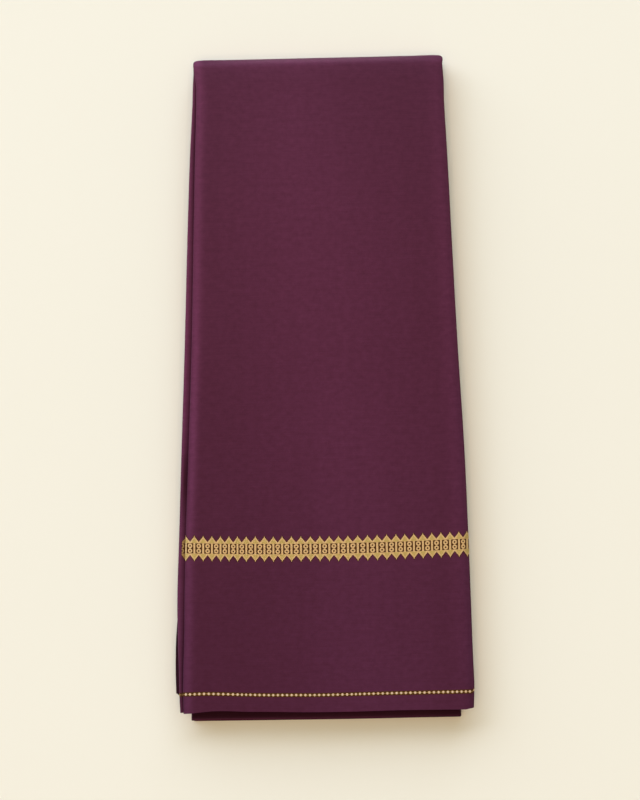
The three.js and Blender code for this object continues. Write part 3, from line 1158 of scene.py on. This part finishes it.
def draped_figures(line, figures, relief):
    """Vertices, faces, kinds and weave coordinates of figures laid on a leaf as thin raised plates."""
    vertices, faces, kinds, weave = [], [], [], []
    for kind, corners in figures:
        if area(corners) < 0:
            corners = corners[::-1]
        low_u, high_u = min(u for u, _ in corners), max(u for u, _ in corners)
        cuts = [joint for joint in line.joints if low_u < joint < high_u]
        for start, end in zip([low_u] + cuts, cuts + [high_u]):
            part = clip(clip(corners, start, True), end, False) if cuts else corners
            if len(part) < 3 or abs(area(part)) < SMALLEST_AREA:
                continue
            first, count = len(vertices), len(part)
            for lift in (relief * SHARE_OF_RELIEF[kind], -relief):
                vertices += [line.point(u, v, lift) for u, v in part]
                weave += [(u * MM, v * MM) for u, v in part]
            top = [first + i for i in range(count)]
            bottom = [first + count + i for i in range(count)]
            faces.append(top)
            faces.append(bottom[::-1])
            for i in range(count):
                j = (i + 1) % count
                faces.append([top[j], top[i], bottom[i], bottom[j]])
            kinds += [kind] * (count + 2)
    return vertices, faces, kinds, weave


class BorderRow:
    """Repeats side by side on a leaf, from the first one's place.

    drift and rise are tables of how far they stray, end is where the row is cut off, and the last is how
    many of them, from the first, have their gold in painted shade where they slope away at a fold.
    """

    def __init__(self, first, count, drift=(), rise=(), end=None, shaded_repeats=0):
        self.first = first
        self.count = count
        self.drift = drift
        self.rise = rise
        self.end = end
        self.shaded_repeats = shaded_repeats

    def figures(self, repeat, pitch):
        placed = []
        for i in range(self.count):
            centre = self.first + i * pitch
            for kind, corners in repeat:
                moved = [(u + centre + table_at(self.drift, u + centre), v) for u, v in corners]
                if self.end is not None:
                    moved = clip(moved, self.end, False)
                # Painted shade: the first repeats take the darker gold where they slope away at a fold
                if i < self.shaded_repeats and kind != GROUND:
                    kind = SHADED_GOLD
                if moved:
                    placed.append((kind, moved))
        return placed


# The rows on each leaf; on the strip, u runs toward the fold's tip.
# Columns: name, section, face of the cloth, on the front, where u is zero, the band's row, the dots' row.
BORDER_LEAVES = (
    ("front_border", outer_section, 1, True, length_at_middle,
     BorderRow(-126.2, 34, BAND_DRIFT), BorderRow(-126.53, 66, DOT_DRIFT, DOT_RISE, shaded_repeats=1)),
    ("strip_border", second_section, -1, True, length_at_tip,
     BorderRow(-7.2, 1, rise=STRIP_BAND_RISE, end=-3.2, shaded_repeats=1),
     BorderRow(-4.1, 2, rise=STRIP_DOT_RISE, shaded_repeats=2)),
    ("underside_border", outer_section, 1, False, length_at_middle,
     BorderRow(-117.3, 31), BorderRow(-117.5, 62)),
)


# ---------------------------------------------------------------- operators


def field_material(scene):
    """The plum of the leaves that show, made once."""
    material = bpy.data.materials.get("plum_field")
    if material is None:
        cloth = scene.saree_cloth
        colour, hem_shade_colour = tuple(cloth.colour), tuple(cloth.hem_shade_colour)
        material = plum_cloth("plum_field", colour, hem_shade_colour, cloth, gloss=0.55)
    return material


def shaded_edge_material(scene):
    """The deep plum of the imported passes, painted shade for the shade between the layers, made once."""
    material = bpy.data.materials.get("shaded_plum_layers")
    if material is None:
        cloth = scene.saree_cloth
        deep = tuple(cloth.deep_shade_colour)
        material = plum_cloth("shaded_plum_layers", deep, deep, cloth, gloss=0.2, border=scene.saree_border)
    return material


class SAREE_OT_outer_leaf(bpy.types.Operator):
    """Lay the outermost pass, from the front hem over the doubled end to the back hem"""

    bl_idname = "saree.outer_leaf"
    bl_label = "Outer leaf"

    def execute(self, context):
        lay_cloth("outer_cloth", outer_section, context.scene.saree_cloth.thickness,
                  field_material(context.scene), "outer_leaf")
        return {"FINISHED"}


class SAREE_OT_second_leaf(bpy.types.Operator):
    """Lay the pass beneath, whose fold shows at the left"""

    bl_idname = "saree.second_leaf"
    bl_label = "Second leaf"

    def execute(self, context):
        lay_cloth("second_cloth", second_section, context.scene.saree_cloth.thickness,
                  field_material(context.scene), "second_leaf")
        return {"FINISHED"}


class SAREE_OT_third_leaf(bpy.types.Operator):
    """Lay the fold that shows at the lower left"""

    bl_idname = "saree.third_leaf"
    bl_label = "Third leaf"

    def execute(self, context):
        lay_cloth("third_cloth", third_section, context.scene.saree_cloth.thickness,
                  shaded_edge_material(context.scene), "third_leaf")
        return {"FINISHED"}


class SAREE_OT_inner_layers(bpy.types.Operator):
    """Lay the hidden passes to and fro"""

    bl_idname = "saree.inner_layers"
    bl_label = "Hidden passes"

    def execute(self, context):
        lay_cloth("inner_cloth", inner_section, context.scene.saree_cloth.pressed_thickness,
                  shaded_edge_material(context.scene), "inner_layers")
        return {"FINISHED"}


class SAREE_OT_border(bpy.types.Operator):
    """Weave the gold band and the row of dots on the front, the strip beside it and the underside"""

    bl_idname = "saree.border"
    bl_label = "Woven border"

    def execute(self, context):
        cloth, border = context.scene.saree_cloth, context.scene.saree_border
        materials = (
            metal_thread("gold_thread", tuple(border.gold)),
            metal_thread("old_gold_thread", tuple(border.old_gold)),
            ground_weave("border_ground", tuple(border.ground)),
            metal_thread("highlight_gold_thread", tuple(border.highlight_gold)),
            metal_thread("shaded_gold_thread", tuple(border.shaded_gold)),
        )
        pitch, dot_pitch = border.repeat / MM, border.dot_spacing / MM
        band, dots = band_repeat(pitch), dot_repeat(dot_pitch)
        for name, section_at, side, on_front, zero_length, band_row, dot_row in BORDER_LEAVES:
            rows = ((BAND_ABOVE_HEM, band, pitch, band_row), (DOTS_ABOVE_HEM, dots, dot_pitch, dot_row))
            vertices, faces, kinds, weave = [], [], [], []
            for above_hem, repeat, row_pitch, row in rows:
                line = BorderLine(
                    section_at, side, on_front, above_hem, cloth.thickness, zero_length, row.rise)
                made = draped_figures(line, row.figures(repeat, row_pitch), border.relief / MM)
                faces += [[index + len(vertices) for index in face] for face in made[1]]
                vertices += made[0]
                kinds += made[2]
                weave += made[3]
            piece = finished_mesh(name, vertices, faces, {"weave": weave}, crisp_degrees=30)
            for material in materials:
                piece.data.materials.append(material)
            for polygon, kind in zip(piece.data.polygons, kinds):
                polygon.material_index = kind
            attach(piece, "root")
        return {"FINISHED"}


class SAREE_OT_stage(bpy.types.Operator):
    """Set the floor, the soft light and the camera"""

    bl_idname = "saree.stage"
    bl_label = "Stage"

    def execute(self, context):
        settings = context.scene.saree_stage
        make_floor(settings)
        make_lights(settings)
        make_room(settings)
        make_camera(settings)
        context.scene.view_settings.view_transform = "Standard"
        return {"FINISHED"}


# The lights, in metres, which face the pack. Columns: name, place, width, height, colour.
FAR_LIGHT = ("far_light", Vector((-3.90, 10.15, 5.07)), 27.0, 9.5, (0.678, 0.794, 1.0))
UPPER_LIGHT = ("upper_light", Vector((-0.36, -2.04, 7.73)), 6.0, 7.0, (1.0, 0.637, 0.393))

# The floor, and the room round it: its colour low down and overhead, and where one blends into the other
FLOOR_HALF_SIZE = 6.0
ROOM_COLOUR = (0.95, 0.87, 0.70)
ROOM_TOP_COLOUR = (0.24, 0.30, 0.26)
ROOM_LOW, ROOM_HIGH = math.sin(math.radians(8)), math.sin(math.radians(16))

# The camera, tilted off the vertical toward the hems and rolled, in metres and degrees, and its film in
# millimetres
CAMERA_DISTANCE = 1.4
CAMERA_TILT = 7.0
CAMERA_ROLL = 0.8
CAMERA_AIM = Vector((-0.00017, -0.01698, 0.010))
FILM_LONG_SIDE = 36.0


def make_floor(settings):
    reach = FLOOR_HALF_SIZE
    corners = [(-reach, -reach, 0), (reach, -reach, 0), (reach, reach, 0), (-reach, reach, 0)]
    mesh = bpy.data.meshes.new("floor")
    mesh.from_pydata(corners, [], [(0, 1, 2, 3)])
    mesh.materials.append(floor_material(tuple(settings.floor_colour)))
    floor = bpy.data.objects.new("floor", mesh)
    bpy.context.scene.collection.objects.link(floor)


def make_lights(settings):
    for (name, place_at, width, height, colour), power in (
            (FAR_LIGHT, settings.far_power), (UPPER_LIGHT, settings.upper_power)):
        data = bpy.data.lights.new(name, "AREA")
        data.shape = "RECTANGLE"
        data.size, data.size_y = width, height
        data.energy = power
        data.color = colour
        light = bpy.data.objects.new(name, data)
        light.visible_camera = False
        light.location = place_at
        light.rotation_mode = "QUATERNION"
        light.rotation_quaternion = (-place_at).to_track_quat("-Z", "Y")
        bpy.context.scene.collection.objects.link(light)


def make_room(settings):
    """A pale room, bright low down all round and dim overhead."""
    world = bpy.data.worlds.new("room")
    world.use_nodes = True
    tree = world.node_tree
    background = tree.nodes["Background"]
    background.inputs["Strength"].default_value = settings.room_strength
    direction = tree.nodes.new("ShaderNodeTexCoord")
    parts = tree.nodes.new("ShaderNodeSeparateXYZ")
    tree.links.new(direction.outputs["Generated"], parts.inputs[0])
    height = tree.nodes.new("ShaderNodeMapRange")
    height.interpolation_type = "SMOOTHSTEP"
    height.inputs["From Min"].default_value = ROOM_LOW
    height.inputs["From Max"].default_value = ROOM_HIGH
    tree.links.new(parts.outputs[2], height.inputs["Value"])
    colour = tree.nodes.new("ShaderNodeMix")
    colour.data_type = "RGBA"
    colour.inputs[6].default_value = (*ROOM_COLOUR, 1)
    colour.inputs[7].default_value = (*ROOM_TOP_COLOUR, 1)
    tree.links.new(height.outputs[0], colour.inputs[0])
    tree.links.new(colour.outputs[2], background.inputs["Color"])
    bpy.context.scene.world = world


def make_camera(settings):
    tilt, roll = math.radians(CAMERA_TILT), math.radians(CAMERA_ROLL)
    back = Vector((0, -math.sin(tilt), math.cos(tilt)))
    level_right = Vector((1, 0, 0))
    level_up = back.cross(level_right)
    right = math.cos(roll) * level_right - math.sin(roll) * level_up
    up = math.sin(roll) * level_right + math.cos(roll) * level_up
    data = bpy.data.cameras.new("camera")
    data.lens = settings.lens
    data.sensor_fit = "AUTO"
    data.sensor_width = FILM_LONG_SIDE
    camera = bpy.data.objects.new("camera", data)
    turn = Matrix((right, up, back)).transposed().to_4x4()
    camera.matrix_world = Matrix.Translation(CAMERA_AIM + back * CAMERA_DISTANCE) @ turn
    bpy.context.scene.collection.objects.link(camera)
    bpy.context.scene.camera = camera


class SAREE_PT_panel(bpy.types.Panel):
    """Sizes, colours and steps of the folded saree"""

    bl_label = "Folded saree"
    bl_idname = "SAREE_PT_panel"
    bl_space_type = "VIEW_3D"
    bl_region_type = "UI"
    bl_category = "Saree"

    def draw(self, context):
        for group in (context.scene.saree_cloth, context.scene.saree_border, context.scene.saree_stage):
            box = self.layout.box()
            for name in group.bl_rna.properties.keys():
                if name not in ("rna_type", "name"):
                    box.prop(group, name)
        for step in STEPS:
            self.layout.operator(step.bl_idname)


STEPS = (
    SAREE_OT_outer_leaf,
    SAREE_OT_second_leaf,
    SAREE_OT_third_leaf,
    SAREE_OT_inner_layers,
    SAREE_OT_border,
    SAREE_OT_stage,
)
CLASSES = (SareeClothSettings, SareeBorderSettings, SareeStageSettings, *STEPS, SAREE_PT_panel)


def register():
    for made in CLASSES:
        bpy.utils.register_class(made)
    bpy.types.Scene.saree_cloth = bpy.props.PointerProperty(type=SareeClothSettings)
    bpy.types.Scene.saree_border = bpy.props.PointerProperty(type=SareeBorderSettings)
    bpy.types.Scene.saree_stage = bpy.props.PointerProperty(type=SareeStageSettings)


def unregister():
    del bpy.types.Scene.saree_cloth
    del bpy.types.Scene.saree_border
    del bpy.types.Scene.saree_stage
    for made in reversed(CLASSES):
        bpy.utils.unregister_class(made)


def main():
    register()
    bpy.ops.saree.outer_leaf()
    bpy.ops.saree.second_leaf()
    bpy.ops.saree.third_leaf()
    bpy.ops.saree.inner_layers()
    bpy.ops.saree.border()
    bpy.ops.saree.stage()


if __name__ == "__main__":
    main()
